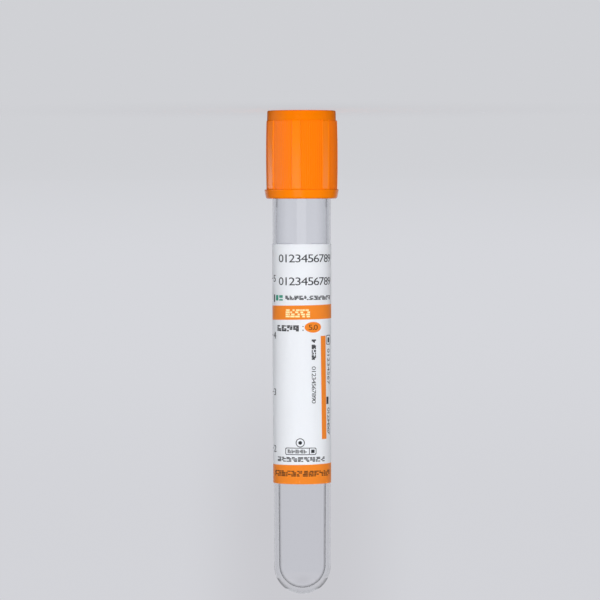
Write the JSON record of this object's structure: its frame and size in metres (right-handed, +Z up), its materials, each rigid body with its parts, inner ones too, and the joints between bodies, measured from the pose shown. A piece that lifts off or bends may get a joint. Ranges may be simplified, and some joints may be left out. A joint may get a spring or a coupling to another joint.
{
  "type": "blood collection tube",
  "caption": "Clear round-bottomed blood collection tube with a printed label, a rubber stopper and an orange ribbed safety cap that pulls off along the tube, stood on its cap.",
  "frame": {"origin": "on the surface that the cap's rim stands on, on the tube's axis", "axes": "+Z up along the tube from the cap to the round bottom, -Y out through the middle of the label, +X across"},
  "size_m": [0.0162, 0.0162, 0.106],
  "materials": {
    "clear_pet": "clear moulded plastic, polished",
    "grey_rubber": "matte moulded butyl rubber",
    "orange_polyethylene": "satin moulded plastic",
    "label_film": "semi-gloss coated white with orange and dark print"
  },
  "bodies": {
    "tube_body": {"tube": "clear_pet", "label": "label_film"},
    "cap_body": {"cap": "orange_polyethylene", "stopper": "grey_rubber"}
  },
  "joints": [
    {"name": "cap_pull", "type": "slide", "parent": "cap_body", "child": "tube_body", "axis": [0, 0, 1], "range_m": [0, 0.022]}
  ]
}
